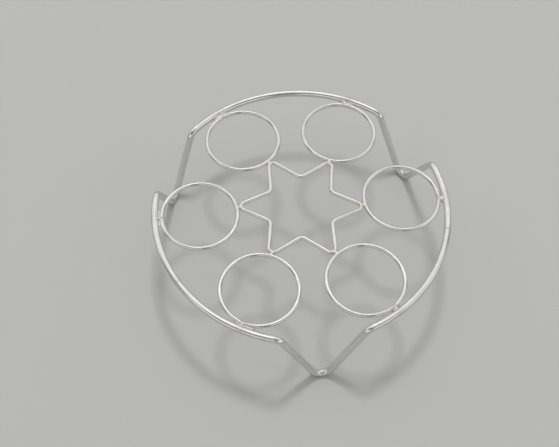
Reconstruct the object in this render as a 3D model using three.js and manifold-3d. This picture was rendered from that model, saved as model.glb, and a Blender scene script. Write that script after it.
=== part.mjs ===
// Egg steamer rack, all of bright steel wire. Two bent wires make a round outer hoop on three V-shaped legs.
// Six egg rings sit inside the hoop, and a star with a point for each ring ties them together in the middle.
// Millimetres, +Z up. The rack's axis is x = y = 0, the feet stand on z = 0 and one leg points to -Y.

import * as THREE from 'three';
import { mergeVertices } from 'three/addons/utils/BufferGeometryUtils.js';
import Module from 'manifold-3d';

const wasm = await Module();
wasm.setup();

// Wire diameters
const FRAME_WIRE = 4.0;
const RING_WIRE = 2.5;
const STAR_WIRE = 2.5;

// Egg rings: clear inside diameter, and the circle that their middles lie on
const RING_COUNT = 6;
const EGG_HOLE = 39.4;
const RING_CIRCLE_RADIUS = 56.6;
const RING_END_STRAIGHT = 4; // length left straight at each end of a ring, up to where the ends would meet
const RING_TURN = -1.5; // degrees, the ring pattern's turn from the legs

// Star: each point's angle in degrees, bends along the wire's middle line, and the turn from the rings
const STAR_POINT_ANGLE = 52;
const STAR_TIP_BEND = 2.65;
const STAR_INNER_BEND = 3.6;
const STAR_TURN = -6.2; // degrees
const STAR_SET_IN = 0.5; // how far each tip is pressed into its ring

// Legs: overall height, gap between a leg's two top corners, and bends along the wire's middle line
const RACK_HEIGHT = 44;
const LEG_COUNT = 3;
const FIRST_LEG = -90; // degrees
const LEG_SPREAD = 46;
const LEG_LEAN = 6.7; // degrees outwards from upright
const LEG_TOP_BEND = 6;
const FOOT_BEND = 5.6;
const FOOT_FLAT = 0.2; // depth worn flat under each foot

// Welds: metal between two wires, play on each side of it, and the outer sizes of the beads
const WELD_METAL = 0.16;
const WELD_PLAY = 0.12;
const RING_WELD_LENGTH = 11;
const STAR_WELD_LENGTH = 6;
const WELD_WIDTH = 3.2;
const WELD_HEIGHT = 2.0;

// Butt welds between the ends of the two frame wires, in degrees from the middle between two legs
const LEFT_JOINT_SHIFT = -1.6;
const RIGHT_JOINT_SHIFT = 12;
const BUTT_WELD = 0.8; // thickness along the wire
const BUTT_CROWN = 0.15; // height of the rim above the wire

// Facets: corners round a wire's section, and degrees turned from one section to the next
const FRAME_SIDES = 12;
const THIN_SIDES = 10;
const HOOP_STEP = 4;
const RING_STEP = 10;
const BEND_STEP = 15;

// Facets of the welds: round a bead and from end to end of it, and across a butt weld's rim
const BEAD_SIDES = 12;
const BEAD_SECTIONS = 8;
const RIM_STEPS = 4;

// Rounds of working out a length that depends on itself
const PASSES = 8;

const UP = new THREE.Vector3(0, 0, 1);
const DOWN = new THREE.Vector3(0, 0, -1);
const { degToRad, radToDeg } = THREE.MathUtils;
const outward = (azimuth) => new THREE.Vector3(1, 0, 0).applyAxisAngle(UP, degToRad(azimuth));

// Places that follow from those sizes
const weldGap = WELD_METAL + 2 * WELD_PLAY;
const wireLevel = RACK_HEIGHT - FRAME_WIRE / 2;
const ringPitch = 360 / RING_COUNT;
const legPitch = 360 / LEG_COUNT;
const leftJoint = FIRST_LEG - legPitch / 2 + LEFT_JOINT_SHIFT;
const rightJoint = FIRST_LEG + legPitch / 2 + RIGHT_JOINT_SHIFT;

// An egg ring's straight ends make a shallow point. They stop short of it, and their inner corners keep a gap.
const ringRadius = (EGG_HOLE + RING_WIRE) / 2;
const ringPoint = Math.atan2(RING_END_STRAIGHT, ringRadius);

function ringEndLength(endGap) {
  const stop = endGap / 2 + RING_WIRE / 2 * Math.sin(ringPoint);
  return RING_END_STRAIGHT - stop / Math.cos(ringPoint);
}

// The hoop goes round the rings' points, with the gap for the weld between them.
const endReach = ringEndLength(weldGap) * Math.sin(ringPoint);
const ringReach = (ringRadius + RING_WIRE / 2) * Math.cos(ringPoint) + endReach;
const hoopRadius = RING_CIRCLE_RADIUS + ringReach + weldGap + FRAME_WIRE / 2;

// Polished wire, and duller weld metal with a straw tint
const brightSteel = new THREE.MeshStandardMaterial({ color: 0xd9d8d4, roughness: 0.18, metalness: 1 });
const weldSteel = new THREE.MeshStandardMaterial({ color: 0xb9b09c, roughness: 0.45, metalness: 1 });

// A wire's middle line, laid down the way a wire bender makes it: straight feeds and round bends.
class WireRoute extends THREE.Curve {
  constructor(start, heading) {
    super();
    this.points = [start];
    this.headings = [heading];
  }

  feed(length) {
    const heading = this.headings.at(-1);
    this.points.push(this.points.at(-1).clone().addScaledVector(heading, length));
    this.headings.push(heading);
    return this;
  }

  bend(axis, degrees, radius, step = BEND_STEP) {
    const start = this.points.at(-1);
    const heading = this.headings.at(-1);
    const centre = start.clone().addScaledVector(axis.clone().cross(heading), radius);
    const spoke = start.clone().sub(centre);
    const sections = Math.ceil(degrees / step);
    for (let i = 1; i <= sections; i++) {
      const turn = degToRad(degrees * i / sections);
      this.points.push(spoke.clone().applyAxisAngle(axis, turn).add(centre));
      this.headings.push(heading.clone().applyAxisAngle(axis, turn));
    }
    return this;
  }

  bendTo(newHeading, radius) {
    const heading = this.headings.at(-1);
    const axis = heading.clone().cross(newHeading).normalize();
    return this.bend(axis, radToDeg(heading.angleTo(newHeading)), radius);
  }

  get steps() {
    return this.points.length - 1;
  }

  getPointAt(u, target = new THREE.Vector3()) {
    return target.copy(this.points[Math.round(u * this.steps)]);
  }

  getTangentAt(u, target = new THREE.Vector3()) {
    return target.copy(this.headings[Math.round(u * this.steps)]);
  }
}

function wireGeometry(route, diameter, sides) {
  const section = new THREE.Shape();
  for (let i = 0; i < sides; i++) {
    const turn = 2 * Math.PI * i / sides;
    const corner = new THREE.Vector2(Math.cos(turn), Math.sin(turn)).multiplyScalar(diameter / 2);
    if (i === 0) section.moveTo(corner.x, corner.y);
    else section.lineTo(corner.x, corner.y);
  }
  return new THREE.ExtrudeGeometry(section, { steps: route.steps, extrudePath: route, bevelEnabled: false });
}

// Solids for joining and cutting
function toSolid(geometry) {
  const bare = geometry.clone();
  bare.deleteAttribute('normal');
  bare.deleteAttribute('uv');
  const merged = mergeVertices(bare);
  const vertProperties = merged.attributes.position.array;
  const triVerts = new Uint32Array(merged.index.array);
  return new wasm.Manifold(new wasm.Mesh({ numProp: 3, vertProperties, triVerts }));
}

function toGeometry(solid) {
  const { vertProperties, triVerts } = solid.getMesh();
  const geometry = new THREE.BufferGeometry();
  geometry.setAttribute('position', new THREE.BufferAttribute(vertProperties, 3));
  geometry.setIndex(new THREE.BufferAttribute(triVerts, 1));
  geometry.computeVertexNormals();
  return geometry;
}

const wireSolid = (route, diameter, sides) => toSolid(wireGeometry(route, diameter, sides));

function piece(name, geometry, material) {
  const mesh = new THREE.Mesh(geometry, material);
  mesh.name = name;
  return mesh;
}

// A leg's limbs run straight from its top corners and touch the round foot bend from outside.
function legShape() {
  const halfSpread = LEG_SPREAD / 2;
  const lean = degToRad(LEG_LEAN);
  const footMiddle = FRAME_WIRE / 2 - FOOT_FLAT;
  const depth = (wireLevel - footMiddle) / Math.cos(lean);
  const toBendCentre = Math.hypot(halfSpread, depth - FOOT_BEND);
  const slant = Math.atan2(halfSpread, depth - FOOT_BEND) - Math.asin(FOOT_BEND / toBendCentre);
  const cornerToFoot = Math.sqrt(toBendCentre ** 2 - FOOT_BEND ** 2);

  // The hoop stops short of a corner by the length of the bend there, which a few passes settle.
  let hoopStop = Math.asin(halfSpread / hoopRadius);
  let bendLength = 0;
  for (let pass = 0; pass < PASSES; pass++) {
    const leanPart = Math.cos(slant) * Math.sin(lean) * Math.sin(hoopStop);
    const turn = Math.acos(leanPart + Math.sin(slant) * Math.cos(hoopStop));
    bendLength = LEG_TOP_BEND * Math.tan(turn / 2);
    hoopStop = Math.asin((halfSpread + bendLength * Math.cos(hoopStop)) / hoopRadius);
  }
  return { slant, lean, limb: cornerToFoot - bendLength, hoopStop: radToDeg(hoopStop) };
}

const leg = legShape();

// A route that starts on the hoop and heads counter-clockwise round it.
function startOnHoop(azimuth) {
  const start = outward(azimuth).multiplyScalar(hoopRadius).setZ(wireLevel);
  return new WireRoute(start, outward(azimuth + 90));
}

// The hoop's middle line from one end to the other, with its legs bent in on the way.
function frameRoute(from, to) {
  const route = startOnHoop(from);
  let reached = from;
  for (let k = 0; k < LEG_COUNT; k++) {
    const azimuth = FIRST_LEG + legPitch * k;
    if (azimuth < from || azimuth > to) continue;
    const along = outward(azimuth + 90).multiplyScalar(Math.sin(leg.slant));
    const below = outward(azimuth).multiplyScalar(Math.sin(leg.lean));
    below.addScaledVector(DOWN, Math.cos(leg.lean)).multiplyScalar(Math.cos(leg.slant));
    route.bend(UP, azimuth - leg.hoopStop - reached, hoopRadius, HOOP_STEP);
    route.bendTo(along.clone().add(below), LEG_TOP_BEND);
    route.feed(leg.limb);
    route.bendTo(along.clone().sub(below), FOOT_BEND);
    route.feed(leg.limb);
    route.bendTo(outward(azimuth + leg.hoopStop + 90), LEG_TOP_BEND);
    reached = azimuth + leg.hoopStop;
  }
  return route.bend(UP, to - reached, hoopRadius, HOOP_STEP);
}

// One frame wire, worn flat under each foot.
function frameWire(name, fromJoint, toJoint) {
  const halfGap = radToDeg((BUTT_WELD / 2 + WELD_PLAY) / hoopRadius);
  const wire = wireSolid(frameRoute(fromJoint + halfGap, toJoint - halfGap), FRAME_WIRE, FRAME_SIDES);
  const floorWidth = 2 * (hoopRadius + RACK_HEIGHT);
  const floor = new THREE.BoxGeometry(floorWidth, floorWidth, FRAME_WIRE).translate(0, 0, -FRAME_WIRE / 2);
  return piece(name, toGeometry(wire.subtract(toSolid(floor))), brightSteel);
}

// A round slug of weld metal between the ends of the frame wires, with a crowned rim.
function buttWeld(name, joint) {
  const radius = FRAME_WIRE / 2;
  const half = BUTT_WELD / 2;
  const rim = new THREE.QuadraticBezierCurve(
    new THREE.Vector2(radius, -half),
    new THREE.Vector2(radius + 2 * BUTT_CROWN, 0),
    new THREE.Vector2(radius, half),
  );
  const profile = [new THREE.Vector2(0, -half), ...rim.getPoints(RIM_STEPS), new THREE.Vector2(0, half)];
  const mesh = piece(name, new THREE.LatheGeometry(profile, FRAME_SIDES), weldSteel);
  mesh.position.copy(outward(joint).multiplyScalar(hoopRadius)).setZ(wireLevel);
  mesh.rotation.z = degToRad(joint);
  return mesh;
}

// The first egg ring lies towards +X. Its two ends meet at its outermost point, with a gap between them.
function ringRoute(endGap) {
  const azimuth = radToDeg(ringPoint);
  const endLength = ringEndLength(endGap);
  const start = new THREE.Vector3(RING_CIRCLE_RADIUS, 0, wireLevel);
  start.addScaledVector(outward(azimuth), ringRadius).addScaledVector(outward(azimuth - 90), endLength);
  const route = new WireRoute(start, outward(azimuth + 90)).feed(endLength);
  return route.bend(UP, 360 - 2 * azimuth, ringRadius, RING_STEP).feed(endLength);
}

// The first ring grown all round, to keep its neighbours clear of it.
const grownRing = (growth) => wireSolid(ringRoute(WELD_METAL), RING_WIRE + 2 * growth, THIN_SIDES);

// The star's tips are bent round points set off from the rings. Its other sizes follow from the point angle.
function starShape() {
  const halfPoint = degToRad(STAR_POINT_ANGLE / 2);
  const halfPitch = degToRad(ringPitch / 2);
  const turn = degToRad(STAR_TURN);
  const ringToBend = ringRadius + (RING_WIRE + STAR_WIRE) / 2 - STAR_SET_IN + STAR_TIP_BEND;
  const aside = RING_CIRCLE_RADIUS * Math.sin(turn);
  const bendCircle = RING_CIRCLE_RADIUS * Math.cos(turn) - Math.sqrt(ringToBend ** 2 - aside ** 2);
  const sharpTip = bendCircle + STAR_TIP_BEND / Math.sin(halfPoint);
  const side = sharpTip * Math.sin(halfPitch) / Math.sin(halfPitch + halfPoint);
  const tipTurn = 180 - STAR_POINT_ANGLE;
  const innerTurn = tipTurn - ringPitch;
  const tipLength = STAR_TIP_BEND * Math.tan(degToRad(tipTurn / 2));
  const innerLength = STAR_INNER_BEND * Math.tan(degToRad(innerTurn / 2));
  return { bendCircle, tipTurn, innerTurn, limb: side - tipLength - innerLength };
}

const star = starShape();

// The star's middle line from the top of one point to the top of another, so many points on.
function starRoute(firstPoint, pointsOn) {
  const azimuth = STAR_TURN + ringPitch * firstPoint;
  const halfGap = radToDeg(weldGap / 2 / STAR_TIP_BEND);
  const start = outward(azimuth).multiplyScalar(star.bendCircle).setZ(wireLevel);
  start.addScaledVector(outward(azimuth + halfGap), STAR_TIP_BEND);
  const route = new WireRoute(start, outward(azimuth + halfGap + 90));
  const halfTip = star.tipTurn / 2;
  route.bend(UP, halfTip - halfGap, STAR_TIP_BEND);
  for (let k = 1; k <= pointsOn; k++) {
    route.feed(star.limb);
    route.bend(DOWN, star.innerTurn, STAR_INNER_BEND);
    route.feed(star.limb);
    route.bend(UP, k < pointsOn ? star.tipTurn : halfTip - halfGap, STAR_TIP_BEND);
  }
  return route;
}

// The star wire, with each tip melted back from the ring that it is pressed into.
function starWire() {
  let wire = wireSolid(starRoute(0, RING_COUNT), STAR_WIRE, THIN_SIDES);
  const ring = toGeometry(grownRing(weldGap));
  for (let k = 0; k < RING_COUNT; k++) {
    wire = wire.subtract(toSolid(ring));
    ring.rotateZ(degToRad(ringPitch));
  }
  return piece('star_wire', toGeometry(wire), brightSteel);
}

// A rounded bead of weld metal, a stretched ball lying along Y until it is turned.
function bead(length, turn, place) {
  const ball = new THREE.SphereGeometry(1, BEAD_SIDES, BEAD_SECTIONS);
  ball.scale(WELD_WIDTH / 2, length / 2, WELD_HEIGHT / 2).rotateZ(turn);
  return toSolid(ball.translate(place.x, place.y, wireLevel));
}

// The weld between the first egg ring, its two ends and the hoop.
function ringWeldGeometry() {
  const place = outward(0).multiplyScalar(hoopRadius - FRAME_WIRE / 2 - weldGap / 2);
  const reach = radToDeg(RING_WELD_LENGTH / hoopRadius);
  const stretch = startOnHoop(-reach).bend(UP, 2 * reach, hoopRadius, HOOP_STEP);
  const hoop = wireSolid(stretch, FRAME_WIRE + 2 * WELD_PLAY, FRAME_SIDES);
  return toGeometry(bead(RING_WELD_LENGTH, 0, place).subtract(grownRing(WELD_PLAY)).subtract(hoop));
}

// The weld between the first egg ring and the star, which also fills the gap that the tip was melted back by.
function starWeldGeometry() {
  const ringMiddle = outward(0).multiplyScalar(RING_CIRCLE_RADIUS);
  const toTip = outward(STAR_TURN).multiplyScalar(star.bendCircle).sub(ringMiddle).normalize();
  const place = ringMiddle.addScaledVector(toTip, ringRadius + RING_WIRE / 2 + weldGap / 2);
  const tip = wireSolid(starRoute(-1, 2), STAR_WIRE + 2 * WELD_PLAY, THIN_SIDES);
  const meltedTip = tip.subtract(grownRing(WELD_PLAY + WELD_METAL));
  const metal = bead(STAR_WELD_LENGTH, Math.atan2(toTip.y, toTip.x), place);
  return toGeometry(metal.subtract(grownRing(WELD_PLAY)).subtract(meltedTip));
}

// The whole rack. The rings are numbered counter-clockwise from +X, and each has its two welds.
const rack = new THREE.Group();
rack.name = 'egg_steamer_rack';
rack.add(frameWire('front_frame_wire', leftJoint, rightJoint));
rack.add(frameWire('back_frame_wire', rightJoint, leftJoint + 360));
rack.add(buttWeld('left_butt_weld', leftJoint));
rack.add(buttWeld('right_butt_weld', rightJoint));

const ringPattern = new THREE.Group();
ringPattern.rotation.z = degToRad(RING_TURN);
ringPattern.add(starWire());
rack.add(ringPattern);

const ringGeometry = wireGeometry(ringRoute(weldGap), RING_WIRE, THIN_SIDES);
const ringWeld = ringWeldGeometry();
const starWeld = starWeldGeometry();
for (let k = 0; k < RING_COUNT; k++) {
  const station = new THREE.Group();
  station.rotation.z = degToRad(ringPitch * k);
  station.add(piece(`egg_ring_${k + 1}`, ringGeometry, brightSteel));
  station.add(piece(`ring_weld_${k + 1}`, ringWeld, weldSteel));
  station.add(piece(`star_weld_${k + 1}`, starWeld, weldSteel));
  ringPattern.add(station);
}

export default rack;
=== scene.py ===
"""Egg steamer rack: the looks of a welded wire rack, made round its CAD model.

Each wire is swept along the route that a wire bender would follow, and weld metal is filleted between
the wires. Metres, +Z up. The rack's axis is x = y = 0, the feet stand on z = 0 and one leg points to -Y.
"""

import math
from collections import namedtuple
from functools import partial

import bmesh
import bpy
from bpy.props import FloatProperty, FloatVectorProperty, IntProperty, PointerProperty
from mathutils import Matrix, Quaternion, Vector, noise


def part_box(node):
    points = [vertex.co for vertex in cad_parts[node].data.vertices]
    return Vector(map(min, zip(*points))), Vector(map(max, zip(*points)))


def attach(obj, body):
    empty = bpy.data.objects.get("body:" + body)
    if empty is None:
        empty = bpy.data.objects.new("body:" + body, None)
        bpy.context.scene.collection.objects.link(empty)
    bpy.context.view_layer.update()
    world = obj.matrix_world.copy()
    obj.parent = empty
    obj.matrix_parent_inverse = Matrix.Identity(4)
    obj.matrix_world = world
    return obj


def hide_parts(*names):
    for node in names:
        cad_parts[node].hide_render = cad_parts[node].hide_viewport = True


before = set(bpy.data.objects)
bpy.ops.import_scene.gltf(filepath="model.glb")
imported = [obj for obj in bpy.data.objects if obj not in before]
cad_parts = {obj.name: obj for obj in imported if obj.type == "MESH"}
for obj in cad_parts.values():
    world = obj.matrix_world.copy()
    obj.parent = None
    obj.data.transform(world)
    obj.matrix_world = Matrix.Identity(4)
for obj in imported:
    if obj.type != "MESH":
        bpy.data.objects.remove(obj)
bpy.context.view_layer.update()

bl_info = {
    "name": "Egg Steamer Rack",
    "version": (1, 0, 0),
    "blender": (4, 5, 0),
    "location": "3D View > Sidebar > Egg Rack",
    "description": "Builds a welded wire rack that holds six eggs above the water",
    "category": "Add Mesh",
}

MM = 0.001
UP = Vector((0, 0, 1))
RING_COUNT = 6
LEG_COUNT = 3
RING_PITCH = math.tau / RING_COUNT
LEG_PITCH = math.tau / LEG_COUNT
FIRST_LEG = math.radians(-90)

# Levels and wire diameters as the CAD model has them
RING_LOW, RING_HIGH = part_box("egg_ring_1")
STAR_LOW, STAR_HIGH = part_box("star_wire")
_, FRAME_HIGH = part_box("back_frame_wire")
WIRE_LEVEL = (RING_LOW.z + RING_HIGH.z) / 2
RING_WIRE = RING_HIGH.z - RING_LOW.z
STAR_WIRE = STAR_HIGH.z - STAR_LOW.z
FRAME_WIRE = 2 * (FRAME_HIGH.z - WIRE_LEVEL)

# The CAD model's facets lie inside its round wires, and the rings move in by as much to stay in its box
FACET_INSET = 0.05 * MM

# How finely the wires' routes are laid out
HOOP_STEP = math.radians(0.5)
RING_STEP = math.radians(1.5)
BEND_STEP = math.radians(4)
FEED_STEP = 0.6 * MM

# Rounds in which the bend from the hoop into a leg settles in its place
LEG_PASSES = 8

# How far on each side a weld rounds off the point that a ring's ends make
MELTED_POINT = 0.9 * MM

# How strongly each kind of weld tints the wire, from 0 to 1
RING_HEAT, STAR_HEAT, BUTT_HEAT = 1.0, 0.75, 0.3

# First seed of each kind of wire and weld, from which the others of its kind count up
FRAME_SEED, RING_SEED, STAR_SEED = 1, 11, 21
RING_WELD_SEED, STAR_WELD_SEED, BUTT_SEED = 0, 31, 41


# Properties

def length(name, description, default):
    return FloatProperty(name=name, description=description, default=default, min=0, precision=5,
                         unit="LENGTH", subtype="DISTANCE")


def angle(name, description, degrees):
    return FloatProperty(name=name, description=description, default=math.radians(degrees),
                         unit="ROTATION", subtype="ANGLE")


def share(name, description, default):
    return FloatProperty(name=name, description=description, default=default, min=0, max=1, subtype="FACTOR")


def colour(name, description, default):
    return FloatVectorProperty(name=name, description=description, default=default, size=3, min=0, max=1,
                               subtype="COLOR")


def per_ring(name, description, values, scale=1.0, **kind):
    """One number for each ring, from ring 1 to ring 6."""
    default = tuple(scale * value for value in values)
    return FloatVectorProperty(name=name, description=description, default=default, size=RING_COUNT, **kind)


class WireSizes(bpy.types.PropertyGroup):
    """Sizes of the bent wires."""

    frame_wire: length("Frame wire", "Diameter of the hoop and leg wire", FRAME_WIRE)
    ring_wire: length("Ring wire", "Diameter of the egg rings' wire", RING_WIRE)
    star_wire: length("Star wire", "Diameter of the star's wire", STAR_WIRE)
    egg_hole: length("Egg hole", "Clear inside diameter of an egg ring", 39.4 * MM)
    ring_circle: length("Ring circle", "Radius of the circle that the rings' middles lie on",
                        56.6 * MM - FACET_INSET)
    ring_end: length("Ring end", "Usual length left straight at each end of a ring", 4 * MM)
    end_shares: per_ring("End shares", "Each ring's straight ends as a share of the usual length",
                         (1.0, 0.5, 0.6, 0.25, 1.25, 1.0), min=0)
    ring_turn: angle("Ring turn", "Turn of the ring pattern from the legs", -1.5)
    end_turns: per_ring("End turns", "Turn of each ring's ends from the hoop's nearest point",
                        (-7.5, 13.5, 0, 0, 0, 5.5), math.radians(1), unit="ROTATION")
    star_point: angle("Star point", "Angle of each of the star's points", 52)
    star_tip_bend: length("Tip bend", "Radius of the star's tips, to the wire's middle", 2.65 * MM)
    star_inner_bend: length("Inner bend", "Radius of the star's inner bends, to the wire's middle", 3.6 * MM)
    star_turn: angle("Star turn", "Turn of the star from the rings", -6.2)
    star_set_in: length("Set in", "How far each tip is pressed into its ring", 0.0)
    star_gap: length("Star gap", "Gap between the star's two ends, which a weld fills", 0.12 * MM)
    leg_spread: length("Leg spread", "Gap between a leg's two top corners", 46 * MM)
    leg_lean: angle("Leg lean", "Lean of a leg outwards from upright", 6.7)
    leg_top_bend: length("Leg top bend", "Radius of the bend from the hoop into a leg", 6 * MM)
    foot_bend: length("Foot bend", "Radius of the bend at a foot", 5.6 * MM)
    foot_flat: length("Foot flat", "Depth worn flat under each foot", 0.2 * MM)
    end_gap: length("End gap", "Gap between wires and wire ends that a weld fills", 0.4 * MM)
    joint_gap: length("Joint gap", "Gap between the ends of the two frame wires", 0.44 * MM)
    left_joint: angle("Left joint", "Turn of the left frame joint from between two legs", -1.6)
    right_joint: angle("Right joint", "Turn of the right frame joint from between two legs", 12)
    frame_waves: length("Frame waves", "How far the frame wire's surface waves in and out", 0.035 * MM)
    frame_wave: length("Frame wave length", "Usual length of those waves along the frame wire", 9 * MM)
    thin_waves: length("Thin waves", "How far the thin wires' surface waves in and out", 0.16 * MM)
    thin_wave: length("Thin wave length", "Usual length of those waves along the thin wires", 6 * MM)
    frame_sides: IntProperty(name="Frame sides", description="Faces round the frame wire", default=40, min=8)
    thin_sides: IntProperty(name="Thin sides", description="Faces round the thin wires", default=32, min=8)


class WeldSizes(bpy.types.PropertyGroup):
    """Sizes of the weld metal."""

    ring_lengths: per_ring("Ring weld lengths", "Length of each ring's weld to the hoop",
                           (5.5, 9.4, 10.5, 11, 11.5, 5.5), MM, unit="LENGTH")
    ring_shifts: per_ring("Ring weld shifts", "How far each weld lies beside the hoop's nearest point",
                          (-2.7, 3.0, 0.7, -0.6, 1.5, 1.6), MM, unit="LENGTH")
    ring_heights: per_ring("Ring weld heights", "Height of each of those welds above the wires' middle",
                           (0.75, 0.6, 0.75, 0.35, 0.65, 0.5), MM, unit="LENGTH")
    tack_height: length("Tack height", "Height of the tack on a ring's ends above the wires' middle",
                        0.95 * MM)
    tack_length: length("Tack length", "Length of the tack on a ring's ends", 2.4 * MM)
    star_length: length("Star weld length", "Length of each weld between a ring and the star", 3.2 * MM)
    star_height: length("Star weld height", "Height of the star welds above the wires' middle", 1.2 * MM)
    underside: share("Underside", "Height below the wires' middle, as a share of that above it", 0.85)
    hollow: share("Hollow", "How deep the ends of a weld draw back, as a share of the gap there", 0.5)
    ripple: length("Ripple", "Height of the ripples in the weld metal", 0.14 * MM)
    ripple_pitch: length("Ripple pitch", "Distance from one ripple to the next", 1.2 * MM)
    butt_crown: length("Butt crown", "Height of a butt weld's rim above the frame wire", 0.12 * MM)
    left_tilt: angle("Left tilt", "Slant of the left butt weld across the frame wire", 4)
    right_tilt: angle("Right tilt", "Slant of the right butt weld across the frame wire", 22)
    heat_reach: length("Heat reach", "Distance from a weld at which its heat tint has faded", 9 * MM)


class RackFinish(bpy.types.PropertyGroup):
    """Colours and gloss of the metal."""

    steel: colour("Steel", "Colour of the polished wire", (0.78, 0.775, 0.76))
    straw: colour("Straw tint", "Colour of the wire near a weld", (0.72, 0.707, 0.675))
    scorch: colour("Scorch tint", "Colour of the wire beside a weld", (0.54, 0.526, 0.495))
    weld: colour("Weld metal", "Colour of the weld metal", (0.66, 0.65, 0.625))
    gloss: share("Wire roughness", "Roughness of the polished wire", 0.16)
    weld_gloss: share("Weld roughness", "Roughness of the weld metal", 0.15)


class StageSettings(bpy.types.PropertyGroup):
    """Floor, light and camera."""

    floor: colour("Floor", "Colour of the floor", (0.50, 0.50, 0.495))
    floor_radius: length("Floor radius", "Radius of the round floor", 4)
    key_azimuth: angle("Key azimuth", "Way to the key lamp, counter-clockwise from +X", 81)
    key_elevation: angle("Key elevation", "Height of the key lamp above the horizon", 67)
    key_distance: length("Key distance", "Distance of the key lamp from the rack", 3)
    key_side: length("Key side", "Side of the square key lamp", 0.45)
    key_radiance: FloatProperty(name="Key radiance", description="Brightness of the key lamp",
                                default=40, min=0)
    aim: FloatVectorProperty(name="Aim", description="Point at the middle of the picture",
                             default=(-13.57 * MM, -9.4 * MM, WIRE_LEVEL),
                             subtype="TRANSLATION", unit="LENGTH")
    distance: length("Distance", "Distance of the camera from that point", 0.4646)
    azimuth: angle("Azimuth", "Turn of the camera round the rack", -9.16)
    elevation: angle("Elevation", "Height of the camera above the horizon", 58.72)
    roll: angle("Roll", "Roll of the camera about its own line of sight", 1.46)
    lens: FloatProperty(name="Lens", description="Focal length on a 36 mm sensor", default=54.37,
                        unit="CAMERA")


# Routes of the wires

def outward(azimuth):
    """Level unit vector at an azimuth, counter-clockwise from +X."""
    return Vector((math.cos(azimuth), math.sin(azimuth), 0))


class WireRoute:
    """A wire's middle line, laid down as a wire bender makes it: straight feeds and round bends."""

    def __init__(self, start, heading):
        self.points = [start.copy()]
        self.heading = heading.copy()

    def feed(self, distance):
        start = self.points[-1].copy()
        steps = max(1, round(distance / FEED_STEP))
        for i in range(1, steps + 1):
            self.points.append(start + self.heading * (distance * i / steps))

    def bend(self, axis, turn, radius, step=BEND_STEP):
        start = self.points[-1].copy()
        centre = start + axis.cross(self.heading) * radius
        steps = max(1, math.ceil(turn / step))
        for i in range(1, steps + 1):
            self.points.append(centre + Quaternion(axis, turn * i / steps) @ (start - centre))
        self.heading = Quaternion(axis, turn) @ self.heading

    def bend_to(self, heading, radius):
        axis = self.heading.cross(heading).normalized()
        self.bend(axis, self.heading.angle(heading), radius)


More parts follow.
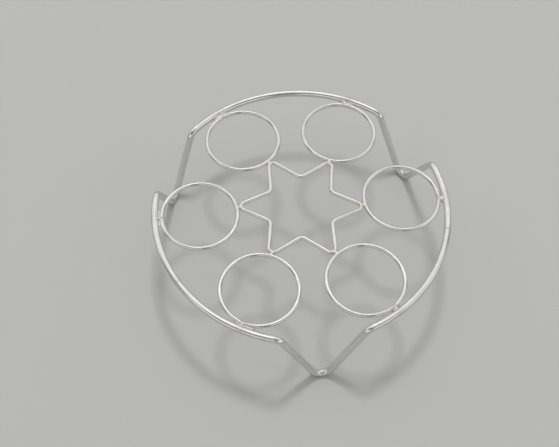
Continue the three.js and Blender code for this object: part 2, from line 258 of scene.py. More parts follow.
class RackPlan:
    """Places that follow from the sizes of the wires."""

    def __init__(self, sizes):
        self.sizes = sizes
        self.ring_radius = (sizes.egg_hole + sizes.ring_wire) / 2
        point, straight = self.plan_end(sizes.ring_end)
        ring_reach = (self.ring_radius + sizes.ring_wire / 2) * math.cos(point) + straight * math.sin(point)
        self.hoop_radius = sizes.ring_circle + ring_reach + sizes.end_gap + sizes.frame_wire / 2
        self.left_joint = FIRST_LEG - LEG_PITCH / 2 + sizes.left_joint
        self.right_joint = FIRST_LEG + LEG_PITCH / 2 + sizes.right_joint
        self.plan_leg()
        self.plan_star()

    def plan_end(self, straight):
        """Angle that a ring's straight end takes up, and its length without the gap between the ends."""
        point = math.atan2(straight, self.ring_radius)
        end_stop = self.sizes.end_gap / 2 + self.sizes.ring_wire / 2 * math.sin(point)
        return point, straight - end_stop / math.cos(point)

    def ring_end(self, index):
        """The same for one of the rings."""
        return self.plan_end(self.sizes.ring_end * self.sizes.end_shares[index])

    def plan_leg(self):
        """A leg's limbs run straight from its top corners and touch the round foot bend from outside."""
        sizes = self.sizes
        half_spread = sizes.leg_spread / 2
        drop = WIRE_LEVEL - sizes.frame_wire / 2 + sizes.foot_flat
        depth = drop / math.cos(sizes.leg_lean) - sizes.foot_bend
        to_bend = math.hypot(half_spread, depth)
        self.leg_slant = math.atan2(half_spread, depth) - math.asin(sizes.foot_bend / to_bend)
        self.hoop_stop = math.asin(half_spread / self.hoop_radius)
        bend_length = 0
        for _ in range(LEG_PASSES):
            lean_part = math.cos(self.leg_slant) * math.sin(sizes.leg_lean) * math.sin(self.hoop_stop)
            turn = math.acos(lean_part + math.sin(self.leg_slant) * math.cos(self.hoop_stop))
            bend_length = sizes.leg_top_bend * math.tan(turn / 2)
            reach = half_spread + bend_length * math.cos(self.hoop_stop)
            self.hoop_stop = math.asin(reach / self.hoop_radius)
        self.leg_limb = math.sqrt(to_bend ** 2 - sizes.foot_bend ** 2) - bend_length

    def plan_star(self):
        """The star's tips are bent round points set off from the rings, and the rest follows."""
        sizes = self.sizes
        half_point = sizes.star_point / 2
        half_pitch = RING_PITCH / 2
        to_bend = self.ring_radius + (sizes.ring_wire + sizes.star_wire) / 2 - sizes.star_set_in
        to_bend += sizes.star_tip_bend
        aside = sizes.ring_circle * math.sin(sizes.star_turn)
        ahead = sizes.ring_circle * math.cos(sizes.star_turn)
        self.tip_circle = ahead - math.sqrt(to_bend ** 2 - aside ** 2)
        sharp_tip = self.tip_circle + sizes.star_tip_bend / math.sin(half_point)
        side = sharp_tip * math.sin(half_pitch) / math.sin(half_pitch + half_point)
        self.tip_turn = math.pi - sizes.star_point
        self.inner_turn = self.tip_turn - RING_PITCH
        self.star_limb = side - sizes.star_tip_bend * math.tan(self.tip_turn / 2)
        self.star_limb -= sizes.star_inner_bend * math.tan(self.inner_turn / 2)

    def station(self, index):
        """Turn of one ring's place in the pattern, counter-clockwise from +X."""
        return self.sizes.ring_turn + RING_PITCH * index

    def frame_route(self, start, stop):
        """The hoop from one frame joint to the other, with its legs bent in on the way."""
        sizes = self.sizes
        half_gap = sizes.joint_gap / 2 / self.hoop_radius
        reached = start + half_gap
        first = outward(reached) * self.hoop_radius + UP * WIRE_LEVEL
        route = WireRoute(first, outward(reached + math.pi / 2))
        for k in range(LEG_COUNT):
            leg = FIRST_LEG + LEG_PITCH * k
            if not start < leg < stop:
                continue
            along = outward(leg + math.pi / 2) * math.sin(self.leg_slant)
            below = outward(leg) * math.sin(sizes.leg_lean) - UP * math.cos(sizes.leg_lean)
            below *= math.cos(self.leg_slant)
            route.bend(UP, leg - self.hoop_stop - reached, self.hoop_radius, HOOP_STEP)
            route.bend_to(along + below, sizes.leg_top_bend)
            route.feed(self.leg_limb)
            route.bend_to(along - below, sizes.foot_bend)
            route.feed(self.leg_limb)
            route.bend_to(outward(leg + self.hoop_stop + math.pi / 2), sizes.leg_top_bend)
            reached = leg + self.hoop_stop
        route.bend(UP, stop - half_gap - reached, self.hoop_radius, HOOP_STEP)
        return route

    def ring_route(self, index):
        """One egg ring, whose straight ends make a shallow point at the hoop."""
        station = self.station(index)
        point, straight = self.ring_end(index)
        azimuth = station + self.sizes.end_turns[index] + point
        start = outward(station) * self.sizes.ring_circle + outward(azimuth) * self.ring_radius
        start += UP * WIRE_LEVEL
        start += outward(azimuth - math.pi / 2) * straight
        route = WireRoute(start, outward(azimuth + math.pi / 2))
        route.feed(straight)
        route.bend(UP, math.tau - 2 * point, self.ring_radius, RING_STEP)
        route.feed(straight)
        return route

    def star_route(self):
        """The whole star, from the top of its first point round to the same place."""
        sizes = self.sizes
        azimuth = self.station(0) + sizes.star_turn
        half_gap = sizes.star_gap / 2 / sizes.star_tip_bend
        start = outward(azimuth) * self.tip_circle + outward(azimuth + half_gap) * sizes.star_tip_bend
        route = WireRoute(start + UP * WIRE_LEVEL, outward(azimuth + half_gap + math.pi / 2))
        half_tip = self.tip_turn / 2 - half_gap
        route.bend(UP, half_tip, sizes.star_tip_bend)
        for k in range(1, RING_COUNT + 1):
            route.feed(self.star_limb)
            route.bend(-UP, self.inner_turn, sizes.star_inner_bend)
            route.feed(self.star_limb)
            route.bend(UP, self.tip_turn if k < RING_COUNT else half_tip, sizes.star_tip_bend)
        return route

    def ring_line(self, aside, index):
        """Middle of a ring's wire near the hoop, with the ring turned to the first one's place."""
        around = math.asin(aside / self.ring_radius)
        point, _ = self.ring_end(index)
        from_point = math.hypot(around - self.sizes.end_turns[index], MELTED_POINT / self.ring_radius)
        reach = self.ring_radius / math.cos(max(0.0, point - from_point))
        return outward(around) * reach + Vector((self.sizes.ring_circle, 0, WIRE_LEVEL))

    def hoop_line(self, aside):
        """Middle of the hoop's wire near the first ring's point."""
        return Vector((math.sqrt(self.hoop_radius ** 2 - aside ** 2), aside, WIRE_LEVEL))

    def tip_place(self):
        """Middle of the first ring, middle of the star's bend there, and the way from one to the other."""
        ring = Vector((self.sizes.ring_circle, 0, WIRE_LEVEL))
        bend = outward(self.sizes.star_turn) * self.tip_circle + UP * WIRE_LEVEL
        return ring, bend, (bend - ring).normalized()

    def ring_side_line(self, aside):
        """Middle of the first ring's wire near the star's tip."""
        ring, _, ahead = self.tip_place()
        return ring + ahead * math.sqrt(self.ring_radius ** 2 - aside ** 2) + UP.cross(ahead) * aside

    def star_tip_line(self, aside):
        """Middle of the star's wire at the tip that meets the first ring."""
        _, bend, ahead = self.tip_place()
        return bend - ahead * math.sqrt(self.sizes.star_tip_bend ** 2 - aside ** 2) + UP.cross(ahead) * aside

    def weld_places(self, ring_shifts):
        """Middles of all the welds, and how much each tints the wires."""
        ring, _, ahead = self.tip_place()
        tip = ring + ahead * (self.ring_radius + self.sizes.ring_wire / 2)
        hoop_side = self.hoop_radius - self.sizes.frame_wire / 2
        places = []
        for k in range(RING_COUNT):
            turn = Matrix.Rotation(self.station(k), 3, UP)
            beside = Vector((hoop_side, ring_shifts[k], WIRE_LEVEL))
            places += [(turn @ tip, STAR_HEAT), (turn @ beside, RING_HEAT)]
        for joint in (self.left_joint, self.right_joint):
            places.append((outward(joint) * self.hoop_radius + UP * WIRE_LEVEL, BUTT_HEAT))
        return places


# Node helpers

def add_node(tree, kind, inputs=(), **settings):
    """Adds a node, with its settings, and sets or links its inputs by name or number."""
    node = tree.nodes.new(kind)
    for key, value in settings.items():
        setattr(node, key, value)
    for key, value in dict(inputs).items():
        if isinstance(value, bpy.types.NodeSocket):
            tree.links.new(value, node.inputs[key])
        else:
            node.inputs[key].default_value = value
    return node


def math_node(tree, operation, *values):
    return add_node(tree, "ShaderNodeMath", enumerate(values), operation=operation).outputs[0]


def vector_node(tree, operation, *values):
    return add_node(tree, "ShaderNodeVectorMath", enumerate(values), operation=operation).outputs["Vector"]


def scaled(tree, vector, factor):
    node = add_node(tree, "ShaderNodeVectorMath", {0: vector, "Scale": factor}, operation="SCALE")
    return node.outputs["Vector"]


def named(tree, name, data_type):
    return add_node(tree, "GeometryNodeInputNamedAttribute", {"Name": name}, data_type=data_type).outputs[0]


def stored(tree, geometry, name, data_type, value):
    inputs = {"Geometry": geometry, "Name": name, "Value": value}
    node = add_node(tree, "GeometryNodeStoreNamedAttribute", inputs, data_type=data_type, domain="POINT")
    return node.outputs["Geometry"]


# Bent wires

WIRE_INPUTS = (
    ("Path", "NodeSocketGeometry"),
    ("Diameter", "NodeSocketFloat"),
    ("Sides", "NodeSocketInt"),
    ("Unevenness", "NodeSocketFloat"),
    ("Wave length", "NodeSocketFloat"),
    ("Crest", "NodeSocketFloat"),
    ("Floor level", "NodeSocketFloat"),
    ("Seed", "NodeSocketFloat"),
    ("Finish", "NodeSocketMaterial"),
)
SHARP_EDGE = math.radians(40)

# Waves that only go inwards, which leave a wire no thicker than it was drawn, and waves that go both ways
INWARD_CREST, EVEN_CREST = 1.0, 0.5


def bent_wire_tree():
    """Sweeps a round section along a wire's middle line, with the marks of drawing, cutting and wear."""
    tree = bpy.data.node_groups.new("Bent wire", "GeometryNodeTree")
    for name, kind in WIRE_INPUTS:
        tree.interface.new_socket(name, in_out="INPUT", socket_type=kind)
    tree.interface.new_socket("Wire", in_out="OUTPUT", socket_type="NodeSocketGeometry")
    given = add_node(tree, "NodeGroupInput").outputs

    # The sweep, with each point's place along the wire and round its section kept beside it
    line = add_node(tree, "GeometryNodeMeshToCurve", {"Mesh": given["Path"]}).outputs["Curve"]
    position = add_node(tree, "GeometryNodeInputPosition").outputs["Position"]
    line = stored(tree, line, "middle", "FLOAT_VECTOR", position)
    radius = math_node(tree, "MULTIPLY", given["Diameter"], 0.5)
    circle = {"Resolution": given["Sides"], "Radius": radius}
    section = add_node(tree, "GeometryNodeCurvePrimitiveCircle", circle).outputs["Curve"]
    section = stored(tree, section, "section", "FLOAT_VECTOR", position)
    sweep = {"Curve": line, "Profile Curve": section, "Fill Caps": True}
    wire = add_node(tree, "GeometryNodeCurveToMesh", sweep).outputs["Mesh"]
    round_place = named(tree, "section", "FLOAT_VECTOR")
    round_place = add_node(tree, "ShaderNodeSeparateXYZ", {0: round_place}).outputs
    drawn = {"X": named(tree, "run", "FLOAT"), "Y": round_place["X"], "Z": round_place["Y"]}
    drawn = add_node(tree, "ShaderNodeCombineXYZ", drawn).outputs["Vector"]
    wire = stored(tree, wire, "drawn", "FLOAT_VECTOR", drawn)

    # Cut ends with broken edges
    spoke = vector_node(tree, "SUBTRACT", position, named(tree, "middle", "FLOAT_VECTOR"))
    trimmed = scaled(tree, spoke, math_node(tree, "SUBTRACT", named(tree, "trim", "FLOAT"), 1.0))

    # Waves in the surface, which stand in or out of the drawn diameter by their height from the crest
    in_waves = math_node(tree, "DIVIDE", 1.0, given["Wave length"])
    place = vector_node(tree, "ADD", scaled(tree, drawn, in_waves), given["Seed"])
    waves = {"Vector": place, "Scale": 1.0, "Detail": 1.0}
    waves = add_node(tree, "ShaderNodeTexNoise", waves, noise_dimensions="3D").outputs[0]
    from_crest = math_node(tree, "SUBTRACT", waves, given["Crest"])
    inwards = math_node(tree, "MULTIPLY", from_crest, given["Unevenness"])
    waved = scaled(tree, vector_node(tree, "NORMALIZE", spoke), inwards)
    moved = vector_node(tree, "ADD", trimmed, waved)
    wire = add_node(tree, "GeometryNodeSetPosition", {"Geometry": wire, "Offset": moved}).outputs["Geometry"]

    # Feet worn flat where they stand
    place = add_node(tree, "ShaderNodeSeparateXYZ", {0: position}).outputs
    level = math_node(tree, "MAXIMUM", place["Z"], given["Floor level"])
    worn = {"X": place["X"], "Y": place["Y"], "Z": level}
    worn = add_node(tree, "ShaderNodeCombineXYZ", worn).outputs["Vector"]
    standing = {"Geometry": wire, "Position": worn}
    wire = add_node(tree, "GeometryNodeSetPosition", standing).outputs["Geometry"]

    wire = add_node(tree, "GeometryNodeSetShadeSmooth", {"Geometry": wire}).outputs["Geometry"]
    edge = add_node(tree, "GeometryNodeInputMeshEdgeAngle").outputs["Unsigned Angle"]
    sharp = math_node(tree, "GREATER_THAN", edge, SHARP_EDGE)
    sharp = {"Geometry": wire, "Selection": sharp, "Shade Smooth": False}
    wire = add_node(tree, "GeometryNodeSetShadeSmooth", sharp, domain="EDGE").outputs["Geometry"]
    finish = {"Geometry": wire, "Material": given["Finish"]}
    wire = add_node(tree, "GeometryNodeSetMaterial", finish).outputs["Geometry"]
    add_node(tree, "NodeGroupOutput", {"Wire": wire})
    return tree


# Broken edges of the cut ends: share of the diameter that is left, length, and the most of a step they take
END_TRIM = 0.86
END_TRIM_LENGTH = 0.25 * MM
LONGEST_TRIM = 0.5

# A bell curve counts as faded at this many of its widths
BELL_WIDTHS = 2


def path_mesh(name, route, heat_places, heat_reach):
    """A wire's middle line as loose edges, with what the wire needs to know at each point."""
    points = list(route.points)
    for end, inner in ((0, 1), (-1, -2)):
        step = points[inner] - points[end]
        trim = step * min(LONGEST_TRIM, END_TRIM_LENGTH / step.length)
        points.insert(1 if end == 0 else len(points) - 1, points[end] + trim)
    runs = [0.0]
    for before, after in zip(points, points[1:]):
        runs.append(runs[-1] + (after - before).length)
    last = len(points) - 1
    mesh = bpy.data.meshes.new(name)
    mesh.from_pydata(points, [(i, i + 1) for i in range(last)], [])
    values = {
        "run": runs,
        "trim": [END_TRIM if i in (0, last) else 1.0 for i in range(last + 1)],
        "welded": [weld_heat(point, heat_places, heat_reach) for point in points],
    }
    for key, numbers in values.items():
        mesh.attributes.new(key, "FLOAT", "POINT").data.foreach_set("value", numbers)
    return mesh


def weld_heat(point, places, reach):
    """How hot welding made a point, from 0 to 1, by its distance from the welds."""
    return max(heat * bell((point - place).length, reach) for place, heat in places)


def bell(distance, reach):
    """Bell curve that is 1 in its middle and has faded at its reach."""
    return math.exp(-(BELL_WIDTHS * distance / reach) ** 2)


def linked(name, mesh):
    """A new object in the scene, at the origin."""
    piece = bpy.data.objects.new(name, mesh)
    bpy.context.scene.collection.objects.link(piece)
    return piece


def make_wire(name, path, tree, values):
    """Runs the bent wire tree on a path and keeps the result as a plain mesh."""
    holder = linked(name + "_path", path)
    modifier = holder.modifiers.new("Bent wire", "NODES")
    modifier.node_group = tree
    for item in tree.interface.items_tree:
        if item.in_out == "INPUT" and item.name in values:
            modifier[item.identifier] = values[item.name]
    depsgraph = bpy.context.evaluated_depsgraph_get()
    mesh = bpy.data.meshes.new_from_object(
        holder.evaluated_get(depsgraph), preserve_all_data_layers=True, depsgraph=depsgraph)
    holder.modifiers.remove(modifier)
    bpy.data.objects.remove(holder)
    bpy.data.meshes.remove(path)
    mesh.name = name
    return linked(name, mesh)


def seat(piece, node):
    """Ties a finished piece to the frame."""
    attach(piece, "root")
    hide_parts(node)


WireGauge = namedtuple("WireGauge", "diameter sides waves wave_length crest")


def thin_gauge(sizes, diameter):
    """What the wires of the rings and the star have in common, for one diameter."""
    return WireGauge(diameter, sizes.thin_sides, sizes.thin_waves, sizes.thin_wave, EVEN_CREST)


def add_wire(context, name, node, route, gauge, seed):
    """One bent wire, from its route to its seat in the frame."""
    sizes = context.scene.rack_wires
    welds = context.scene.rack_welds
    places = RackPlan(sizes).weld_places(welds.ring_shifts)
    path = path_mesh(name + "_path", route, places, welds.heat_reach)
    values = {
        "Diameter": gauge.diameter,
        "Sides": gauge.sides,
        "Unevenness": gauge.waves,
        "Wave length": gauge.wave_length,
        "Crest": gauge.crest,
        "Floor level": 0.0,
        "Seed": float(seed),
        "Finish": polished_wire(context.scene.rack_finish),
    }
    tree = bpy.data.node_groups.get("Bent wire") or bent_wire_tree()
    seat(make_wire(name, path, tree, values), node)


# Weld metal

# How finely a bead is laid out: across its fillet, round its core in each wire, and along the wires
FILLET_POINTS = 14
CORE_POINTS = 16
BEAD_SECTIONS = 60

# Share of a wire's radius that a bead fills, inside the wire and between two wire ends
HIDDEN_CORE, JOINED_CORE = 0.6, 0.94

# How far a bead fills the star's wire on each side of the gap between its ends
JOINED_REACH = 0.5 * MM

# How far a fillet's edges lie inside the wires, and the least share of its height at a bead's ends
SINK = 0.02 * MM
LEAST_HEIGHT = 0.02

# Halvings in the search for a fillet's radius, and the widest radius that it tries
SEARCH_STEPS = 40
WIDEST_FILLET = 50 * MM

# How suddenly the ends of a bead draw back and thin out
HOLLOW_POWER = 2
NOSE_POWER = 3

# Steps through the pattern of the ripples: across a fillet, from above to below, and from bead to bead
RIPPLE_ACROSS, RIPPLE_BELOW, RIPPLE_BEAD = 2, 5, 7.3


def fillet(radius_a, radius_b, apart, height):
    """Radius and middle of a round fillet that bridges two round wires, so high at its lowest point."""
    low = max(0.0, (apart - radius_a - radius_b) / 2)
    high = WIDEST_FILLET
    across = up = 0.0
    for _ in range(SEARCH_STEPS):
        radius = (low + high) / 2
        across = ((radius_a + radius) ** 2 - (radius_b + radius) ** 2 + apart ** 2) / (2 * apart)
        up = math.sqrt(max(0.0, (radius_a + radius) ** 2 - across ** 2))
        if up - radius < height:
            low = radius
        else:
            high = radius
    return radius, across, up


def weld_section(first, second, apart, height, ripple):
    """Upper half of a weld's section: its core in the first wire, the fillet, its core in the second.

    Each point is its place on the way from the first wire's middle to the second's, its height, and how
    far into the fillet it is, from 0 at its edges to 1 in its middle.
    """
    (radius_a, core_a), (radius_b, core_b) = first, second
    radius, across, up = fillet(radius_a - SINK, radius_b - SINK, apart, height)
    start = math.atan2(up, across)
    stop = math.atan2(up, across - apart)
    line = []
    for i in range(CORE_POINTS):
        turn = math.pi + (start - math.pi) * i / CORE_POINTS
        line.append((radius_a * core_a * math.cos(turn), radius_a * core_a * math.sin(turn), 0))
    for i in range(FILLET_POINTS + 1):
        part = i / FILLET_POINTS
        turn = start + (stop - start) * part - math.pi
        inside = math.sin(math.pi * part)
        out = radius - ripple(part) * inside
        line.append((across + out * math.cos(turn), up + out * math.sin(turn), inside))
    for i in range(1, CORE_POINTS + 1):
        turn = stop * (1 - i / CORE_POINTS)
        line.append((apart + radius_b * core_b * math.cos(turn), radius_b * core_b * math.sin(turn), 0))
    return line


def bead_mesh(name, loops, sharp_rows):
    """A closed skin over a row of loops of points, with a fan at each end."""
    bm = bmesh.new()
    rows = [[bm.verts.new(point) for point in loop] for loop in loops]
    count = len(rows[0])
    for before, after in zip(rows, rows[1:]):
        for i in range(count):
            j = (i + 1) % count
            bm.faces.new((before[i], before[j], after[j], after[i]))
    for row in (rows[0], rows[-1]):
        middle = bm.verts.new(sum((vert.co for vert in row), Vector()) / count)
        for i in range(count):
            bm.faces.new((row[i], row[(i + 1) % count], middle))
    bmesh.ops.recalc_face_normals(bm, faces=bm.faces)
    for face in bm.faces:
        face.smooth = True
    for before, after in zip(rows, rows[1:]):
        for i in sharp_rows:
            bm.edges.get((before[i], after[i])).smooth = False
    mesh = bpy.data.meshes.new(name)
    bm.to_mesh(mesh)
    bm.free()
    return mesh


class Bead:
    """One weld between two wires: where it lies, how high it is, and the wire ends that it joins."""

    def __init__(self, span, height, shift=0.0, ends=0.0, tack=(0.0, 1.0), joined=(0.0, 0.0)):
        self.span = span
        self.height = height
        self.shift = shift
        self.ends = ends
        self.tack_height, self.tack_length = tack
        self.joined = joined

    def place(self, part):
        """Distance beside the middle place, for a part of the way from -1 to 1."""
        return self.shift + part * self.span / 2

    def rise(self, part):
        """Height above the wires' middle, which fades towards both ends and is raised by the tack."""
        fade = max(LEAST_HEIGHT, math.sqrt(max(0.0, 1 - part ** 2)))
        tacked = bell(self.place(part) - self.ends, self.tack_length)
        return self.height * fade + max(0.0, self.tack_height - self.height * fade) * tacked

    def core(self, wire, part):
        """Share of a wire's radius that the weld fills: nearly all of it between two wire ends."""
        return JOINED_CORE if abs(self.place(part) - self.ends) < self.joined[wire] else HIDDEN_CORE


def ripple_height(welds, aside, part, side, seed, across):
    """Height of the ripples at one place of a bead, which fade towards its ends."""
    pattern = (aside / welds.ripple_pitch, across * RIPPLE_ACROSS + side * RIPPLE_BELOW, seed * RIPPLE_BEAD)
    return welds.ripple * (1 - part ** 2) * noise.noise(Vector(pattern))


def weld_between(context, name, bead, lines, radii, turn, seed):
    """Weld metal filleted between two wires, above and below, with ends that draw back between the wires."""
    welds = context.scene.rack_welds
    loops = []
    for k in range(BEAD_SECTIONS + 1):
        part = math.sin(math.pi * (k / BEAD_SECTIONS - 0.5))
        aside = bead.place(part)
        start, stop = (line(aside) for line in lines)
        apart = (stop - start).length
        ahead = (stop - start).normalized()
        gap = max(0.0, apart - sum(radii))
        drawn_back = UP.cross(ahead) * (-part * abs(part) ** HOLLOW_POWER * welds.hollow * gap)
        nose = math.sqrt(max(LEAST_HEIGHT, 1 - abs(part) ** NOSE_POWER))
        wires = [(radii[i], bead.core(i, part)) for i in (0, 1)]
        halves = []
        for side, level in ((1, 1.0), (-1, welds.underside)):
            ripple = partial(ripple_height, welds, aside, part, side, seed)
            half = weld_section(*wires, apart, bead.rise(part) * level, ripple)
            halves.append([start + ahead * x + UP * (side * nose * z) + drawn_back * inside
                           for x, z, inside in half])
        upper, lower = halves
        loops.append([turn @ point for point in upper + lower[-2:0:-1]])
    last = 2 * (len(upper) - 1)
    contacts = (CORE_POINTS, CORE_POINTS + FILLET_POINTS)
    mesh = bead_mesh(name, loops, contacts + tuple(last - row for row in contacts))
    mesh.materials.append(weld_metal(context.scene.rack_finish))
    return linked(name, mesh)


# How finely a butt weld is laid out, along the wire and round it
BUTT_RINGS = 13
BUTT_SIDES = 48

# How far it reaches over the wires' ends, and how far its edges lie inside the wires
BUTT_OVERLAP = 0.42 * MM
BUTT_BITE = 0.03 * MM

# How uneven it is, and steps through that pattern: round the rim, from weld to weld, and along its edges
BUTT_ROUGHNESS = 0.35
LUMPS_AROUND, LUMPS_WELD, LUMPS_EDGE = 2, 5.1, 2


def butt_weld(context, name, joint, tilt, seed):
    """A thin uneven rim of weld metal where the ends of the two frame wires meet."""
    sizes = context.scene.rack_wires
    welds = context.scene.rack_welds
    plan = RackPlan(sizes)
    half = sizes.joint_gap / 2 + BUTT_OVERLAP
    loops = []
    for k in range(BUTT_RINGS):
        part = 2 * k / (BUTT_RINGS - 1) - 1
        crown = (1 - part ** 2) ** 2
        loop = []
        for i in range(BUTT_SIDES):
            around = math.tau * i / BUTT_SIDES
            place = Vector((math.cos(around), math.sin(around), 0)) * LUMPS_AROUND
            place.z = seed * LUMPS_WELD + part
            rough = 1 - BUTT_ROUGHNESS * abs(noise.noise(place))
            radius = sizes.frame_wire / 2 - BUTT_BITE * (1 - crown) + welds.butt_crown * crown * rough
            side, up = radius * math.cos(around), radius * math.sin(around)
            uneven = 1 + BUTT_ROUGHNESS * noise.noise(place * LUMPS_EDGE)
            along = part * half * uneven + math.tan(tilt) * side
            azimuth = joint + along / plan.hoop_radius
            loop.append(outward(azimuth) * (plan.hoop_radius + side) + UP * (WIRE_LEVEL + up))
        loops.append(loop)
    mesh = bead_mesh(name, loops, ())
    mesh.materials.append(weld_metal(context.scene.rack_finish))
    return linked(name, mesh)


# Finishes

def new_material(name):
    material = bpy.data.materials.new(name)
    material.use_nodes = True
    material.node_tree.nodes.clear()
    return material


def clouded(tree, vector, scale, detail, roughness=0.5):
    """Cloudy texture with so many clouds to the unit."""
    values = {"Vector": vector, "Scale": scale, "Detail": detail, "Roughness": roughness}
    return add_node(tree, "ShaderNodeTexNoise", values).outputs["Fac"]


def ranged(tree, value, low, high, to_low, to_high):
    """Turns the range from low to high into another one, and keeps within it."""
    values = {"Value": value, "From Min": low, "From Max": high, "To Min": to_low, "To Max": to_high}
    return add_node(tree, "ShaderNodeMapRange", values).outputs["Result"]


def mixed(tree, factor, first, second):
    """Mixes two colours, each a socket or three numbers."""
    node = add_node(tree, "ShaderNodeMix", {"Factor": factor}, data_type="RGBA")
    for key, value in (("A_Color", first), ("B_Color", second)):
        socket = next(s for s in node.inputs if s.identifier == key)
        if isinstance(value, bpy.types.NodeSocket):
            tree.links.new(value, socket)
        else:
            socket.default_value = (*value, 1)
    return next(s for s in node.outputs if s.identifier == "Result_Color")


def relief(tree, height, strength, depth, **under):
    """Normal of a surface with a fine relief, which may lie over another one."""
    values = {"Height": height, "Strength": strength, "Distance": depth, **under}
    return add_node(tree, "ShaderNodeBump", values).outputs["Normal"]


def add_surface(tree, values):
    """Ends a material with its surface."""
    surface = add_node(tree, "ShaderNodeBsdfPrincipled", values).outputs["BSDF"]
    add_node(tree, "ShaderNodeOutputMaterial", {"Surface": surface})


# Polished wire: draw lines to the metre along and across it, clouds and handling marks to the metre, and
# how strong the finer marks are
DRAW_LINES = (45, 7000, 7000)
CLOUDS, MARKS = 130, 1500
FINE_MARKS = 0.7

# What the clouds and the heat do to its colour: the range that is read, and the range that it gives
CLOUD_SHADE, CLOUD_TONE = 0.9, (0.35, 0.75, 0, 1)
HEAT_PATCHES = (0.3, 0.7, 0.55, 1.1)
STRAW_HEAT, SCORCH_HEAT = (0.05, 0.5, 0, 1), (0.6, 1.0, 0, 0.8)

# What the lines, the marks, the heat and the wear on the feet do to its roughness
LINE_GLOSS = (0.3, 0.7, -0.04, 0.05)
MARK_GLOSS = (0.55, 0.75, 0, 0.12)
HEAT_GLOSS = 0.16
FOOT_GLOSS = (0, 2.5 * MM, 0.22, 0)

# Strength and depth of the lines and the marks
LINE_RELIEF = (0.35, 0.004 * MM)
MARK_RELIEF = (0.25, 0.01 * MM)


def polished_wire(finish):
    """Bright drawn steel wire: fine lines along it, faint handling marks, and a heat tint at the welds."""
    if "polished_wire" in bpy.data.materials:
        return bpy.data.materials["polished_wire"]
    material = new_material("polished_wire")
    tree = material.node_tree
    drawn = add_node(tree, "ShaderNodeAttribute", attribute_name="drawn").outputs["Vector"]
    heat = add_node(tree, "ShaderNodeAttribute", attribute_name="welded").outputs["Fac"]
    place = add_node(tree, "ShaderNodeTexCoord").outputs["Object"]

    lines = clouded(tree, vector_node(tree, "MULTIPLY", drawn, DRAW_LINES), 1, detail=3)
    clouds = clouded(tree, place, CLOUDS, detail=3)
    marks = clouded(tree, place, MARKS, detail=2, roughness=FINE_MARKS)

    # Straw first, then a duller scorch next to the weld, both broken up
    patchy = math_node(tree, "MULTIPLY", heat, ranged(tree, clouds, *HEAT_PATCHES))
    shaded = tuple(CLOUD_SHADE * part for part in finish.steel)
    steel = mixed(tree, ranged(tree, clouds, *CLOUD_TONE), tuple(finish.steel), shaded)
    tinted = mixed(tree, ranged(tree, patchy, *STRAW_HEAT), steel, tuple(finish.straw))
    tinted = mixed(tree, ranged(tree, patchy, *SCORCH_HEAT), tinted, tuple(finish.scorch))

    height = add_node(tree, "ShaderNodeSeparateXYZ", {0: place}).outputs["Z"]
    rough = math_node(tree, "ADD", ranged(tree, lines, *LINE_GLOSS), finish.gloss)
    rough = math_node(tree, "ADD", rough, ranged(tree, marks, *MARK_GLOSS))
    rough = math_node(tree, "ADD", rough, math_node(tree, "MULTIPLY", patchy, HEAT_GLOSS))
    rough = math_node(tree, "ADD", rough, ranged(tree, height, *FOOT_GLOSS))
    normal = relief(tree, lines, *LINE_RELIEF)
    normal = relief(tree, marks, *MARK_RELIEF, Normal=normal)
    add_surface(tree, {"Base Color": tinted, "Metallic": 1.0, "Roughness": rough, "Normal": normal})
    return material


# Weld metal: patches and grains to the metre, how strong the finer grains are, and what the patches and
# grains do to its colour, roughness and relief
PATCHES, GRAINS = 420, 3200
FINE_GRAINS = 0.65
PATCH_TONE, GRAIN_TONE = (0.35, 0.68, 0, 1), (0.5, 0.8, 0, 0.5)
GRAIN_GLOSS = (0.3, 0.7, -0.07, 0.12)
GRAIN_RELIEF = (0.5, 0.03 * MM)


def weld_metal(finish):
    """Weld metal as it froze: rippled, satin, with straw and grey patches."""
    if "frozen_weld" in bpy.data.materials:
        return bpy.data.materials["frozen_weld"]
    material = new_material("frozen_weld")
    tree = material.node_tree
    place = add_node(tree, "ShaderNodeTexCoord").outputs["Object"]
    patches = clouded(tree, place, PATCHES, detail=3)
    grain = clouded(tree, place, GRAINS, detail=3, roughness=FINE_GRAINS)
    tone = mixed(tree, ranged(tree, patches, *PATCH_TONE), tuple(finish.weld), tuple(finish.straw))
    tone = mixed(tree, ranged(tree, grain, *GRAIN_TONE), tone, tuple(finish.scorch))
    rough = math_node(tree, "ADD", ranged(tree, grain, *GRAIN_GLOSS), finish.weld_gloss)
    normal = relief(tree, grain, *GRAIN_RELIEF)
    add_surface(tree, {"Base Color": tone, "Metallic": 1.0, "Roughness": rough, "Normal": normal})
    return material


# Floor: clouds to the metre, their shade, and the floor's roughness and sheen
FLOOR_CLOUDS, FLOOR_SHADE = 6, 0.98
FLOOR_ROUGHNESS, FLOOR_SHEEN = 0.75, 0.2


def floor_finish(stage):
    """Plain pale matt floor, with the faintest unevenness."""
    material = new_material("pale_floor")
    tree = material.node_tree
    place = add_node(tree, "ShaderNodeTexCoord").outputs["Object"]
    clouds = clouded(tree, place, FLOOR_CLOUDS, detail=2)
    tone = mixed(tree, clouds, tuple(stage.floor), tuple(FLOOR_SHADE * part for part in stage.floor))
    add_surface(tree, {"Base Color": tone, "Roughness": FLOOR_ROUGHNESS, "Specular IOR Level": FLOOR_SHEEN})
    return material


# Stage

# Corners of the round floor, and how far it lies below the feet
FLOOR_SIDES = 128
FLOOR_DROP = 0.05 * MM


def add_floor(stage):
    bm = bmesh.new()
    bmesh.ops.create_circle(bm, cap_ends=True, segments=FLOOR_SIDES, radius=stage.floor_radius)
    bmesh.ops.translate(bm, verts=bm.verts, vec=-UP * FLOOR_DROP)
    mesh = bpy.data.meshes.new("floor")
    bm.to_mesh(mesh)
    bm.free()
    mesh.materials.append(floor_finish(stage))
    linked("floor", mesh)


